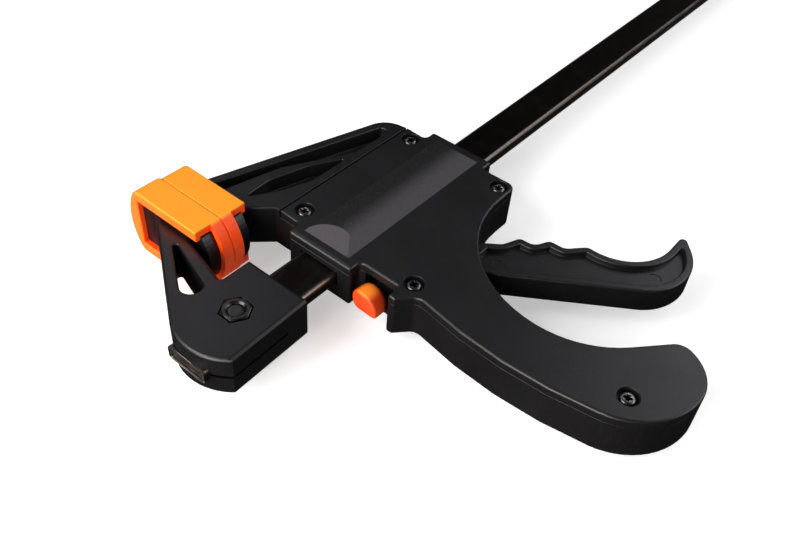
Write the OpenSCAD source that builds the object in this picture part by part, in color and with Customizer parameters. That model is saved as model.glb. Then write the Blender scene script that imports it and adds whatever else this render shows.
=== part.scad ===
/* [Bar] */
// Width of the bar, across its flat
bar_w = 17.8; // [16:0.1:20]
// Thickness of the bar
bar_t = 6; // [5:0.1:7]
// Radius of the bar's long edges
bar_edge_r = 1.6; // [0.6:0.1:2.4]
// Furthest that the jaws open
jaw_opening = 300; // [100:5:600]
// Length of bar behind the stop pin's axis
bar_tail = 9; // [6:0.5:20]
// How far the bar's front end stands out of the fixed jaw
bar_nose = 0.6; // [0.3:0.1:6]
// Diameter of the stop pin
stop_pin_d = 4; // [3:0.1:5]
// Length of the stop pin
stop_pin_len = 14; // [10:0.5:18]

/* [Fixed jaw] */
// Thickness of the fixed jaw
jaw_t = 17.6; // [16:0.1:18.4]
// Radius of the jaw's round back, about the bolt
heel_r = 22.2; // [21:0.1:25]
// Distance from the clamping plane to the jaw's block
jaw_front = 3.9; // [3:0.1:5]
// Reach of the jaw's block below the bar's axis
jaw_low = 15.5; // [13:0.1:17]
// Reach of the jaw's block above the bar's axis
jaw_high = 14.8; // [13:0.1:17]
// Lean of the jaw's back, from the bar
jaw_lean = 55.7; // [54:0.1:58]
// Foot of the jaw's rib, behind the clamping plane
rib_foot_x = 17.7; // [16:0.1:18.5]
// Height of the rib's top above the bar's axis
rib_top_y = 38; // [36:0.5:42]
// Radius of the window's wide end
window_r = 4.2; // [3:0.1:4.6]
// Radius of the window's narrow end
window_tip_r = 1.1; // [0.8:0.1:1.6]
// Window's wide end, behind the clamping plane
window_x = 26.3; // [25.5:0.1:27.5]
// Window's wide end, above the bar's axis
window_y = 19.8; // [19:0.1:21]
// Window's narrow end, behind the clamping plane
window_tip_x = 17.2; // [16.6:0.1:18]
// Window's narrow end, above the bar's axis
window_tip_y = 39; // [34:0.1:40]
// Width of the clamp slit
slit_w = 1.2; // [0.4:0.1:1.5]
// Front end of the clamp slit, behind the clamping plane
slit_x = 14; // [10:0.5:20]

/* [Jaw bolt] */
// Distance from the clamping plane to the bolt
bolt_x = 23.8; // [20:0.1:28]
// Thread diameter of the bolt
bolt_d = 6; // [4:0.1:8]
// Width of the nut across its flats
nut_af = 10; // [9.5:0.1:12]
// Height of the nut
nut_h = 4.8; // [3.5:0.1:5.2]
// How far the nut's top stands above the jaw's face
nut_rise = 0.5; // [0:0.1:1.5]
// Depth of the bolt's end below the nut's top
bolt_sink = 0.9; // [0:0.1:2]
// Diameter of the bolt's head
bolt_head_d = 11; // [9:0.1:13]
// Height of the bolt's head
bolt_head_h = 4; // [3:0.1:4.5]

/* [Pads] */
// Length of a pad, along the jaws
pad_len = 44.4; // [40:0.1:46]
// How much further up the fixed pad reaches
pad_step = 1.2; // [0:0.1:2]
// Height of a pad, through the clamp's thickness
pad_h = 29.6; // [27:0.1:31]
// Radius of a pad's end next to the bar
pad_near_r = 20.6; // [16:0.1:24]
// Radius of a pad's far end
pad_far_r = 26; // [20:0.5:40]
// Radius of the corners at a pad's far end
pad_corner_r = 3.5; // [2.6:0.1:6]
// Depth of a pad, from its face to its back
pad_depth = 12.2; // [11:0.1:15]
// Thickness of a pad's face
pad_face_t = 4.8; // [3:0.1:5.5]
// Wall of a pad's hood
pad_wall = 2.2; // [1.6:0.1:3]
// Thickness of a pad's back lip
pad_lip_t = 2.3; // [1.6:0.1:3]
// Width of the back lip at the pad's far end
pad_lip_w = 5.8; // [4:0.1:7]
// Height of the opening in the pad's back
pad_mouth_h = 20.8; // [19.4:0.1:22.4]
// Height of the pads' near end above the bar's axis
pad_low_y = 27.2; // [26:0.1:31]
// Height of the hood's open edge above the bar's axis
hood_y = 33.6; // [32.5:0.1:36]

/* [Housing] */
// Thickness of the housing, cover and all
body_t = 18.5; // [18:0.1:21]
// Thickness of the cover plate
cover_t = 3.6; // [3:0.1:4]
// Thickness of the housing's floor
floor_t = 3.6; // [3:0.1:4]
// Thickness of the housing's side walls
wall_t = 2.4; // [1.8:0.1:3]
// Distance from the clamping plane to the bar box
box_x = 16.6; // [15:0.1:19]
// Length of the bar box
box_len = 88; // [84:0.5:96]
// Width of the bar box
box_w = 30.6; // [27:0.1:31.4]
// Step from the bar box's ends back to the housing's walls
box_step = 5.7; // [4.5:0.1:6.5]
// Height of the seam between arm and cover above the bar's axis
seam_y = 26; // [25:0.1:27]
// Width of the seam's groove
seam_w = 0.8; // [0.3:0.1:1.2]
// Height at which the arm's front edge starts to lean out
arm_front_y = 28.4; // [27.5:0.1:30]
// Height of the arm's top edge at the pad plate
arm_tip_y = 62; // [60:0.1:64]
// Slope of the arm's top edge
arm_slope = 16.2; // [15:0.1:17]
// Radius of the arm's rear corner
arm_rear_r = 11; // [6:0.5:14]
// Width of the flanges around the arm's pockets
flange_w = 4.2; // [3.5:0.1:5]
// Thickness of the web between the arm's pockets
web_t = 5.5; // [4:0.1:9]
// Clearance of the bar in the housing
bar_fit = 0.3; // [0.2:0.05:0.5]

/* [Grip] */
// Height of the grip's waist below the bar's axis
waist_y = 79; // [77:0.5:82]
// Front of the grip's waist, behind the clamping plane
waist_x = 18.9; // [17.5:0.1:20.5]
// Width of the grip at its waist
waist_w = 22; // [20:0.1:24]
// Length of the grip, from the bar's axis to its end
grip_len = 137; // [134:0.5:142]
// Radius of the curve behind the trigger
web_r = 47; // [45.5:0.1:48.5]
// Radius of the grip's back, below the waist
palm_r = 39.6; // [38:0.1:42]
// Slope of the grip's back at its lower end
palm_lean = 41.6; // [40:0.1:44]
// Radius of the grip's front
grip_front_r = 170; // [140:1:220]
// Radius of the grip's end, front half
end_front_r = 28; // [26:0.5:30]
// Radius of the grip's end, rear half
end_rear_r = 18; // [16:0.5:19]
// Radius of the grip's rear tip
grip_tip_r = 6; // [5:0.1:8]
// Depth of the end's rear curve inside the line of the grip's back
end_rear_in = 10.5; // [9:0.1:14]
// Radius of the corner between the rear wall and the curve behind the trigger
web_corner_r = 4; // [2:0.1:5]
// Height of the thumb lip below the bar's axis
lip_y = 33.2; // [32.5:0.1:35]
// How far the thumb lip stands out of the front wall
lip_out = 6; // [4:0.1:7]
// Thickness of the thumb lip's edge
lip_t = 2.8; // [2:0.1:4]
// Radius of the corner between the thumb lip and the grip's front
lip_under_r = 4.5; // [2:0.1:6]

/* [Cover screws] */
// Diameter of a screw's shank
screw_d = 3; // [2.5:0.1:3.2]
// Length of a screw's shank
screw_len = 11; // [8:0.5:12]
// Diameter of a screw's head
screw_head_d = 5.8; // [5:0.1:6.4]
// Height of a screw's head
screw_head_h = 1.9; // [1.4:0.1:2]
// Diameter of a screw's counterbore
screw_bore_d = 7.8; // [7:0.1:8.4]
// Depth of a screw's counterbore
screw_bore_h = 2.4; // [2:0.1:2.6]
// Diameter of a screw's boss
boss_d = 7; // [6:0.1:7.6]
// Distance of the upper front screw from the front wall
screw_front_in = 6.9; // [6.4:0.1:8]
// Distance of the rear screws from the rear wall
screw_rear_in = 5.2; // [4.7:0.1:7]
// Distance of the upper screws below the seam
screw_seam_in = 6.6; // [5.6:0.1:7]
// Distance of the rear lower screw above the housing's lower edge
screw_low_in = 5.3; // [5:0.1:6]
// Distance of the front lower screw from the front wall
screw_thumb_in = 4.8; // [4.7:0.1:6.2]
// Distance of the front lower screw below the thumb lip
screw_thumb_low = 3.2; // [2.8:0.1:5.3]
// Distance of the grip's screw from the front of the waist
screw_grip_in = 15.7; // [14:0.1:20]
// Height of the grip's screw above the grip's end
screw_grip_up = 18.6; // [14:0.1:24]

/* [Label] */
// Distance of the label's ends from the bar box's ends
label_in = 4; // [2:0.1:12]
// Width of the label
label_w = 22; // [14:0.1:26]
// Thickness of the label
label_t = 0.3; // [0.2:0.05:0.5]
// Depth of the label's face below the cover's face
label_sink = 0.05; // [0.02:0.01:0.15]

/* [Trigger] */
// Distance of the trigger's pin behind the clamping plane
pivot_x = 51; // [50:0.1:52]
// Depth of the trigger's pin below the bar's axis
pivot_y = 27; // [26.5:0.1:27.5]
// Diameter of the trigger's pin
pivot_d = 4; // [3:0.1:5]
// Running clearance of the trigger on its pin, on the diameter
pivot_fit = 0.1; // [0.04:0.02:0.18]
// Depth of the pin's seats in floor and cover
pivot_seat = 2; // [1:0.1:2.4]
// Clearance on each side of the trigger
side_fit = 0.3; // [0.25:0.05:0.5]
// Radius of the trigger's boss
trigger_boss_r = 8; // [7:0.1:9]
// Radius of the trigger's nose
nose_r = 3; // [2.5:0.1:3.2]
// Height of the nose's centre above the pin
nose_up = 13.4; // [12.5:0.1:13.6]
// Distance of the nose's centre behind the pin
nose_back = 3.5; // [3:0.1:4]
// Width of the rim around the trigger's panels
rim_w = 3; // [2.4:0.1:3.6]
// Depth of the trigger's panels
panel_h = 2.3; // [1:0.1:3]
// Turn of the trigger, from rest to squeezed
trigger_turn = 18; // [10:1:18]
// Diameter of the round marks in the trigger's panels
mark_d = 5.5; // [4:0.1:6]
// Depth of the round marks
mark_h = 0.3; // [0.1:0.05:0.5]

/* [Plates and springs] */
// Thickness of a drive plate
drive_t = 1.7; // [1.4:0.1:1.8]
// Gap between the trigger's nose and the front drive plate
nose_gap = 0.3; // [0.25:0.05:0.4]
// Reach of the drive plates above the bar's axis
drive_up = 13; // [12:0.1:15]
// Reach of the drive plates below the bar's axis
drive_down = 19; // [18:0.1:20]
// Clearance of the plates around the bar
plate_fit = 0.3; // [0.25:0.05:0.4]
// Thickness of the brake plate
brake_t = 2.2; // [1.6:0.1:2.4]
// Distance of the brake plate's upper end behind the clamping plane
brake_x = 29.5; // [29:0.1:30]
// Height of the brake plate's turning edge above the bar's axis
brake_y = 13.5; // [13:0.1:13.8]
// Lean of the brake plate when it grips the bar
brake_lean = 3.5; // [2:0.1:3.6]
// Reach of the brake plate below the bar's axis
brake_down = 28; // [26:0.5:29]
// Depth of the springs' axis below the bar's axis
spring_y = 14.6; // [14.2:0.1:15]
// Diameter of the springs
spring_d = 7; // [6:0.1:7.4]
// Diameter of the springs' wire
wire_d = 0.9; // [0.6:0.05:1.1]
// Distance of the drive spring's rear seat behind the clamping plane
drive_seat_x = 80; // [76:0.5:84]
// Distance of the brake spring's rear seat behind the clamping plane
brake_seat_x = 39.5; // [39:0.1:41]
// Thickness of the spring seats
seat_t = 2.2; // [1.6:0.1:2.6]

/* [Release button] */
// Width of the button, along the brake plate
button_w = 11.6; // [10:0.1:12]
// Height of the button, through the clamp's thickness
button_h = 10.6; // [8:0.1:10.6]
// How far the button stands in front of the brake plate
button_out = 11.5; // [8:0.1:12.5]
// Depth of the button's middle below the bar's axis
button_y = 25.1; // [24:0.1:25.3]
// Radius of the button's corners next to the bar
button_r = 4.8; // [2:0.1:4.9]
// Radius of the button's outer corners
button_outer_r = 2.6; // [1:0.1:4.9]
// Clearance of the button in its opening
button_fit = 0.8; // [0.5:0.1:1]

/* [Hidden] */

// The origin is on the bar's axis, in the plane where the pads meet and halfway through the
// clamp's thickness. X runs along the bar to its tail, Y up the jaws, and the grip is at -Y.
round_fn = 64;
arc_step = 6;
over = 1;

// Levels through the thickness
body_z = body_t / 2;
cover_z = body_z - cover_t;
floor_z = -body_z + floor_t;
inner_h = cover_z - floor_z;
inner_mid = (cover_z + floor_z) / 2;
part_h = inner_h - 2 * side_fit;

// Bar
box_end = box_x + box_len;
stop_x = box_end + jaw_opening + stop_pin_d / 2;
jaw_back = bolt_x + heel_r;
bar_start = -jaw_back - bar_nose;
bar_end = stop_x + bar_tail;

// Walls of the housing
wall_front = box_x + box_step;
wall_rear = box_end - box_step;
box_y = box_w / 2;
web_low = web_r - waist_y;

// Label
label_x = box_x + label_in;
label_len = box_len - 2 * label_in;

// Pads
pad_plate_gap = 0.1;
plate_front = pad_face_t;
plate_back = pad_depth - pad_lip_t - pad_plate_gap;

// Angles and curves
function unit(v) = v / norm(v);
function arc(c, r, a0, a1) =
    let (n = max(1, ceil(abs(a1 - a0) / arc_step)))
    [for (i = [0 : n]) c + r * [cos(a0 + (a1 - a0) * i / n), sin(a0 + (a1 - a0) * i / n)]];
function turn(a, b) = atan2(a[0] * b[1] - a[1] * b[0], a * b);
// One corner of an outline, rounded to radius r, or left sharp at radius 0
function corner(p0, p1, p2, r) =
    r <= 0 ? [p1] :
    let (d1 = unit(p1 - p0), d2 = unit(p2 - p1), t = turn(d1, d2), s = sign(t),
         back = r * tan(abs(t) / 2), c = p1 - d1 * back + s * r * [-d1[1], d1[0]],
         a = atan2(d1[1], d1[0]) - s * 90)
    abs(t) < 1 ? [p1] : arc(c, r, a, a + t);
function xy(p) = [p[0], p[1]];
// An outline from corner points [x, y, radius]
function rounded(ps) =
    let (n = len(ps))
    [for (i = [0 : n - 1])
        each corner(xy(ps[(i + n - 1) % n]), xy(ps[i]), xy(ps[(i + 1) % n]), ps[i][2])];

// Corner points of an outline drawn counter-clockwise, moved inwards by d
function inset(ps, d) =
    let (n = len(ps))
    [for (i = [0 : n - 1])
        let (d1 = unit(xy(ps[i]) - xy(ps[(i + n - 1) % n])),
             d2 = unit(xy(ps[(i + 1) % n]) - xy(ps[i])),
             n1 = [-d1[1], d1[0]], n2 = [-d2[1], d2[0]],
             p = xy(ps[i]) + d * (n1 + n2) / (1 + n1 * n2))
        [p[0], p[1], turn(d1, d2) > 0 ? max(0.4, ps[i][2] - d) : ps[i][2] + d]];

// Stands a profile drawn in Y and Z up along X, from x0 to x1
module along_x(x0, x1) {
    translate([x0, 0, 0]) rotate([90, 0, 90]) linear_extrude(x1 - x0) children();
}

// Extrudes a profile drawn in X and Y from level z0 to level z1
module slab(z0, z1) {
    translate([0, 0, z0]) linear_extrude(z1 - z0) children();
}

// Bar section, with round edges
module bar_section(grow = 0) {
    w = bar_w / 2 + grow;
    t = bar_t / 2 + grow;
    r = bar_edge_r;
    square([2 * w, 2 * (t - r)], center = true);
    square([2 * (w - r), 2 * t], center = true);
    for (sy = [-1, 1], sz = [-1, 1])
        translate([sy * (w - r), sz * (t - r)]) circle(r, $fn = round_fn);
}

module bar_hole_section() {
    square([bar_w + 2 * bar_fit, bar_t + 2 * bar_fit], center = true);
}

// ---- Bar group ----

module bar() {
    color("#2b2926") difference() {
        along_x(bar_start, bar_end) bar_section();
        translate([-bolt_x, 0, 0])
            cylinder(d = bolt_d, h = bar_t + 2 * over, center = true, $fn = round_fn);
        translate([stop_x, 0, 0])
            cylinder(d = stop_pin_d, h = bar_t + 2 * over, center = true, $fn = round_fn);
    }
}

module stop_pin() {
    color("#8d8f92") translate([stop_x, 0, 0])
        cylinder(d = stop_pin_d, h = stop_pin_len, center = true, $fn = round_fn);
}

// Outline of a pad's face, in Y and Z: flat sides, a round end near the bar and a
// flatter far end with rounded corners
function pad_points(inset, longer) =
    let (half = pad_h / 2 - inset, rn = pad_near_r - inset, rf = pad_far_r - inset,
         rc = pad_corner_r - inset, cn = pad_low_y + pad_near_r,
         cf = pad_low_y + pad_len + longer - pad_far_r,
         an = asin(half / rn), ac = asin((half - rc) / (rf - rc)),
         yc = cf + (rf - rc) * cos(ac))
    concat(
        arc([cn, 0], rn, 180 - an, 180 + an),
        arc([yc, -half + rc], rc, -90, -ac),
        arc([cf, 0], rf, -ac + arc_step, ac - arc_step),
        arc([yc, half - rc], rc, ac, 90)
    );

module pad_outline(inset = 0, longer = 0) {
    polygon(pad_points(inset, longer));
}

// Pad plate of a jaw, which fills the inside of a pad's hood
module pad_plate(longer = 0) {
    along_x(plate_front, plate_back) pad_outline(pad_wall + pad_plate_gap, longer);
}

// Pad cap on the +X side of the clamping plane
module pad_cap(longer = 0) {
    far = pad_low_y + pad_len + longer;
    difference() {
        union() {
            along_x(0, pad_face_t) pad_outline(0, longer);
            intersection() {
                along_x(pad_face_t, pad_depth) pad_outline(0, longer);
                translate([0, hood_y, -pad_h]) cube([pad_depth + over, pad_len, 2 * pad_h]);
            }
        }
        along_x(pad_face_t, pad_depth - pad_lip_t) intersection() {
            pad_outline(pad_wall, longer);
            translate([hood_y - over, -pad_h]) square([pad_len + over, 2 * pad_h]);
        }
        translate([pad_depth - pad_lip_t - over, hood_y - over, -pad_mouth_h / 2])
            cube([pad_lip_t + 2 * over, far - pad_lip_w - hood_y + over, pad_mouth_h]);
    }
}

module fixed_pad() {
    color("#ff8a1f") mirror([1, 0, 0]) pad_cap(pad_step);
}

module moving_pad() {
    color("#ff8a1f") pad_cap();
}

// Outline of the fixed jaw: the back is round about the bolt and leans over to the pad plate
module jaw_outline() {
    low_x = sqrt(heel_r * heel_r - jaw_low * jaw_low);
    top_y = (heel_r + (bolt_x - plate_back) * sin(jaw_lean)) / cos(jaw_lean);
    polygon(concat(
        rounded([
            [-bolt_x - low_x, -jaw_low, 0],
            [-jaw_front, -jaw_low + 1, 0.8],
            [-jaw_front, jaw_high, 0.8],
            [-rib_foot_x, jaw_high, 1.2],
            [-plate_back - 1.6, rib_top_y, 1],
            [-plate_back, rib_top_y, 0],
            [-plate_back, top_y, 0]
        ]),
        arc([-bolt_x, 0], heel_r, 90 + jaw_lean, 176 + asin(jaw_low / heel_r))
    ));
}

module jaw_window() {
    hull() {
        translate([-window_x, window_y]) circle(window_r, $fn = 32);
        translate([-window_tip_x, window_tip_y]) circle(window_tip_r, $fn = 32);
    }
}

module fixed_jaw() {
    color("#343437") difference() {
        union() {
            slab(-jaw_t / 2, jaw_t / 2) jaw_outline();
            mirror([1, 0, 0]) pad_plate(pad_step);
        }
        slab(-jaw_t, jaw_t) jaw_window();
        along_x(-jaw_back - over, -jaw_front + over) bar_section();
        translate([-bolt_x, 0, 0])
            cylinder(d = bolt_d, h = jaw_t + 2 * over, center = true, $fn = round_fn);
        translate([-bolt_x, 0, jaw_t / 2 + nut_rise - nut_h]) rotate(30)
            cylinder(d = (nut_af + 0.8) / cos(30), h = nut_h + over, $fn = 6);
        translate([-bolt_x, 0, -jaw_t / 2 - over])
            cylinder(d = bolt_head_d + 1, h = bolt_head_h + over, $fn = round_fn);
        translate([-jaw_back - over, -jaw_low - over, -slit_w / 2])
            cube([jaw_back - slit_x + over, jaw_low + over, slit_w]);
    }
}

module jaw_nut() {
    top = jaw_t / 2 + nut_rise;
    bevel = 0.6;
    color("#3b3b3d") translate([-bolt_x, 0, top - nut_h]) difference() {
        intersection() {
            rotate(30) cylinder(d = nut_af / cos(30), h = nut_h, $fn = 6);
            union() {
                cylinder(d = nut_af / cos(30) + 1, h = nut_h - bevel, $fn = round_fn);
                translate([0, 0, nut_h - bevel])
                    cylinder(d1 = nut_af / cos(30), d2 = nut_af - 0.4, h = bevel, $fn = round_fn);
            }
        }
        translate([0, 0, -over]) cylinder(d = bolt_d, h = nut_h + 2 * over, $fn = round_fn);
    }
}

module jaw_bolt() {
    low = -jaw_t / 2;
    high = jaw_t / 2 + nut_rise - bolt_sink;
    socket_d = 5;
    socket_h = 2.4;
    color("#6f7073") translate([-bolt_x, 0, low]) difference() {
        union() {
            cylinder(d = bolt_head_d, h = bolt_head_h, $fn = round_fn);
            cylinder(d = bolt_d, h = high - low, $fn = round_fn);
        }
        translate([0, 0, -over]) cylinder(d = socket_d / cos(30), h = socket_h + over, $fn = 6);
    }
}

// ---- Moving jaw ----

function arm_y(x) = arm_tip_y - (x - plate_back) * tan(arm_slope);

// Outline of the whole moving jaw, clockwise from the pad plate
function housing_points() =
    let (rear_x = waist_x + waist_w, front_c = [waist_x + grip_front_r, -waist_y],
         // The lip's underside slopes down to the grip's front and meets it in a round corner
         lip_end = [wall_front - lip_out, -lip_y - lip_t], lip_low = lip_end[1] - lip_out,
         front_top = 180 - asin((waist_y + lip_low) / grip_front_r),
         under = unit(front_c + grip_front_r * [cos(front_top), sin(front_top)] - lip_end),
         to_round = lip_end + lip_under_r * [under[1], -under[0]] - front_c,
         round_run = -to_round * under - sqrt(pow(to_round * under, 2) - to_round * to_round
             + pow(grip_front_r + lip_under_r, 2)),
         round_c = front_c + to_round + round_run * under,
         round_a = atan2(round_c[1] - front_c[1], round_c[0] - front_c[0]),
         // The end's front curve touches the grip's front, which leans by front_lean there
         front_lean = asin((grip_len - end_front_r - waist_y) / (grip_front_r - end_front_r)),
         front_end = front_c - (grip_front_r - end_front_r) * [cos(front_lean), sin(front_lean)],
         palm = [rear_x + palm_r, -waist_y], na = 270 - palm_lean, n = [cos(na), sin(na)],
         palm_end = palm + palm_r * n, tip_c = end_rear_r - grip_tip_r,
         rear_y = -grip_len + end_rear_r,
         rear_end = [max(front_end[0],
                         palm_end[0] + (end_rear_in - (rear_y - palm_end[1]) * n[1]) / n[0]), rear_y],
         ta = na - 360 + acos((grip_tip_r - (rear_end - palm_end) * n) / tip_c))
    concat(
        rounded([
            [wall_front, arm_front_y, 0.8],
            [plate_back + 3.6, arm_front_y + wall_front - plate_back - 3.6, 0],
            [plate_back, arm_front_y + wall_front - plate_back, 0],
            [plate_back, arm_y(plate_back), 0],
            [wall_rear, arm_y(wall_rear), arm_rear_r],
            [wall_rear, box_y, 2],
            [box_end, box_y, 0.8],
            [box_end, -box_y, 0.8],
            [wall_rear, -box_y, 1],
            [wall_rear, web_low, min(web_corner_r, wall_rear - rear_x - web_r)],
            [rear_x + web_r, web_low, 0]
        ]),
        arc([rear_x + web_r, -waist_y], web_r, 96, 180),
        arc(palm, palm_r, 186, na),
        arc(rear_end + tip_c * [cos(ta), sin(ta)], grip_tip_r, na - 180, ta),
        arc(rear_end, end_rear_r, ta - arc_step, -90),
        arc(front_end, end_front_r, -90 - arc_step, -180 + front_lean),
        arc(front_c, grip_front_r, 180 + front_lean - arc_step, round_a),
        arc(round_c, lip_under_r, round_a - 180 + arc_step, 90 + atan2(under[1], under[0])),
        corner(lip_end + under, lip_end, [wall_front - lip_out, -lip_y], min(1.6, lip_t - 1.1)),
        corner(lip_end, [wall_front - lip_out, -lip_y], [wall_front, -lip_y], 1),
        corner([wall_front - lip_out, -lip_y], [wall_front, -lip_y], [wall_front, -box_y], 0.8),
        corner([wall_front, -lip_y], [wall_front, -box_y], [box_x, -box_y], 2),
        corner([wall_front, -box_y], [box_x, -box_y], [box_x, box_y], 1),
        corner([box_x, -box_y], [box_x, box_y], [wall_front, box_y], 1),
        corner([box_x, box_y], [wall_front, box_y], [wall_front, arm_front_y], 2)
    );

module housing_outline() {
    polygon(housing_points());
}

// Part of the outline that the cover closes
module cover_outline(gap = 0) {
    intersection() {
        housing_outline();
        translate([0, -grip_len - over]) square([box_end + over, grip_len + over + seam_y - gap]);
    }
}

// Pockets in both faces of the arm
function upper_pocket() =
    let (drop = flange_w / cos(arm_slope), low = seam_y + 3.8)
    rounded([
        [plate_back + 2.4, arm_y(plate_back + 2.4) - drop, 0],
        [wall_rear - 7.4, arm_y(wall_rear - 7.4) - drop, 1.8],
        [wall_rear - 7.4, low, 1.8],
        [wall_rear - 27.8, low, 3],
        [wall_front + 18.8, low + 15, 12],
        [plate_back + 2.4, low + 21.6, 0]
    ]);
function lower_pocket() =
    let (low = seam_y + 3.8)
    rounded([
        [wall_front - 3.2, low + 11.4, 0.6],
        [wall_front + 10, low + 12.2, 14],
        [wall_front + 27.8, low + 7.4, 6],
        [wall_front + 41.6, low, 0.4],
        [wall_front + 22, low, 8],
        [wall_front + 8, low + 4.8, 12]
    ]);

// Places for the cover's screws
screw_spots = [
    [wall_front + screw_front_in, seam_y - screw_seam_in],
    [wall_rear - screw_rear_in, seam_y - screw_seam_in],
    [wall_rear - screw_rear_in, web_low + screw_low_in],
    [wall_front + screw_thumb_in, -lip_y - screw_thumb_low],
    [waist_x + screw_grip_in, -grip_len + screw_grip_up]
];

screw_seat_z = body_z - screw_bore_h;

// Middle of the button where it passes the front wall, with the brake plate leaning
button_mid = brake_y - (brake_y + button_y) * cos(brake_lean) +
    (brake_x - wall_front) * sin(brake_lean);

// Wedge that the trigger sweeps through, seen along its pin
module trigger_sweep() {
    reach = 60;
    translate([pivot_x, -pivot_y])
        polygon([[0, 0], reach * [cos(-33), sin(-33)], reach * [cos(-62), sin(-62)],
                 reach * [cos(-88), sin(-88)], 37 * [cos(-106), sin(-106)], [-8, -20]]);
}

// Rib across the housing that a spring pushes against
module spring_seat(x) {
    slab(floor_z - over / 2, cover_z) translate([x, -spring_y - spring_d / 2 - 0.6])
        square([seat_t, spring_d + 1.2]);
}

module housing_shell() {
    notch_y = brake_y - 2.2;
    notch_h = 5;
    color("#38383b") difference() {
        union() {
            difference() {
                union() {
                    slab(-body_z, cover_z) housing_outline();
                    slab(cover_z - over, body_z) difference() {
                        housing_outline();
                        translate([0, -grip_len - over])
                            square([box_end + over, grip_len + over + seam_y]);
                    }
                    pad_plate();
                }
                slab(floor_z, cover_z + over) offset(delta = -wall_t) cover_outline(1.4);
                // Slot that the trigger comes out of
                slab(floor_z, cover_z + over) intersection() {
                    trigger_sweep();
                    translate([0, -grip_len]) square([box_end + over, grip_len - pivot_y]);
                }
                // Opening for the release button
                translate([wall_front - over, button_mid - button_w / 2 - button_fit, floor_z])
                    cube([wall_t + 2 * over, button_w + 2 * button_fit, inner_h + over]);
                for (s = [0, 1]) mirror([0, 0, s]) {
                    slab(web_t / 2, body_t) polygon(upper_pocket());
                    slab(web_t / 2, body_t) polygon(lower_pocket());
                }
            }
            for (p = screw_spots) translate([p[0], p[1], floor_z - over / 2])
                cylinder(d = boss_d, h = inner_h + over / 2, $fn = round_fn);
            spring_seat(drive_seat_x);
            spring_seat(brake_seat_x);
            // Notch that holds the brake plate's upper end
            for (x = [brake_x - brake_t / 2 - 0.5 - seat_t, brake_x + brake_t / 2 + 0.5])
                slab(floor_z - over / 2, cover_z) translate([x, notch_y]) square([seat_t, notch_h]);
        }
        for (p = screw_spots) translate([p[0], p[1], screw_seat_z - screw_len])
            cylinder(d = screw_d, h = screw_len + over, $fn = round_fn);
        along_x(box_x - over, box_end + over) bar_hole_section();
        translate([pivot_x, -pivot_y, floor_z - pivot_seat])
            cylinder(d = pivot_d, h = inner_h, $fn = round_fn);
    }
}

module cover_plate() {
    color("#3c3c40") difference() {
        slab(cover_z, body_z) cover_outline(seam_w);
        for (p = screw_spots) translate([p[0], p[1], 0]) {
            cylinder(d = screw_d, h = body_t, $fn = round_fn);
            translate([0, 0, screw_seat_z])
                cylinder(d = screw_bore_d, h = screw_bore_h + over, $fn = round_fn);
        }
        translate([pivot_x, -pivot_y, cover_z - over])
            cylinder(d = pivot_d, h = pivot_seat + over, $fn = round_fn);
        translate([label_x, -label_w / 2, body_z - label_sink - label_t])
            cube([label_len, label_w, label_t + over]);
    }
}

module label_plate() {
    color("#6a696c") translate([label_x, -label_w / 2, body_z - label_sink - label_t])
        cube([label_len, label_w, label_t]);
}

module trigger_pin() {
    color("#8d8f92") translate([pivot_x, -pivot_y, floor_z - pivot_seat])
        cylinder(d = pivot_d, h = inner_h + 2 * pivot_seat, $fn = round_fn);
}

// Pan head screw with a cross recess
module cover_screw(i) {
    slot = 0.9;
    slot_len = screw_head_d * 0.62;
    dome = 0.6;
    p = screw_spots[i];
    color("#77787b") translate([p[0], p[1], screw_seat_z]) difference() {
        union() {
            translate([0, 0, -screw_len]) cylinder(d = screw_d, h = screw_len, $fn = round_fn);
            cylinder(d = screw_head_d, h = screw_head_h - dome, $fn = round_fn);
            translate([0, 0, screw_head_h - dome])
                cylinder(d1 = screw_head_d, d2 = screw_head_d - 2 * dome, h = dome, $fn = round_fn);
        }
        for (a = [0, 90]) rotate(a + 20) translate([0, 0, screw_head_h])
            cube([slot_len, slot, 2 * screw_head_h * 0.6], center = true);
    }
}
module cover_screw_1() { cover_screw(0); }
module cover_screw_2() { cover_screw(1); }
module cover_screw_3() { cover_screw(2); }
module cover_screw_4() { cover_screw(3); }
module cover_screw_5() { cover_screw(4); }

// Coil spring along X, from x0 to x1, as a swept wire
module coil(x0, x1, turns, d = spring_d) {
    sides = 8;
    per_turn = 20;
    n = turns * per_turn;
    r = (d - wire_d) / 2;
    len_x = x1 - x0 - wire_d;
    pts = [for (i = [0 : n], j = [0 : sides - 1])
        let (a = 360 * i / per_turn, b = 360 * j / sides,
             x = x0 + wire_d / 2 + len_x * i / n + wire_d / 2 * sin(b),
             q = r + wire_d / 2 * cos(b))
        [x, q * cos(a), q * sin(a)]];
    faces = concat(
        [[for (j = [0 : sides - 1]) sides - 1 - j]],
        [for (i = [0 : n - 1], j = [0 : sides - 1]) let (k = (j + 1) % sides)
            [i * sides + j, i * sides + k, (i + 1) * sides + k, (i + 1) * sides + j]],
        [[for (j = [0 : sides - 1]) n * sides + j]]);
    translate([0, -spring_y, inner_mid]) polyhedron(pts, faces);
}

module drive_spring() {
    color("#a5a6a8") coil(drive_x + 2 * drive_t, drive_seat_x, 8);
}

module brake_spring() {
    // Front end where the leaning plate's rear face crosses the spring's lower edge
    drop = brake_y + spring_y - spring_d / 2;
    color("#a5a6a8") coil(brake_x + brake_t / 2 + 0.2 - drop * tan(brake_lean),
                          brake_seat_x, 5);
}

// ---- Trigger ----

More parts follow.
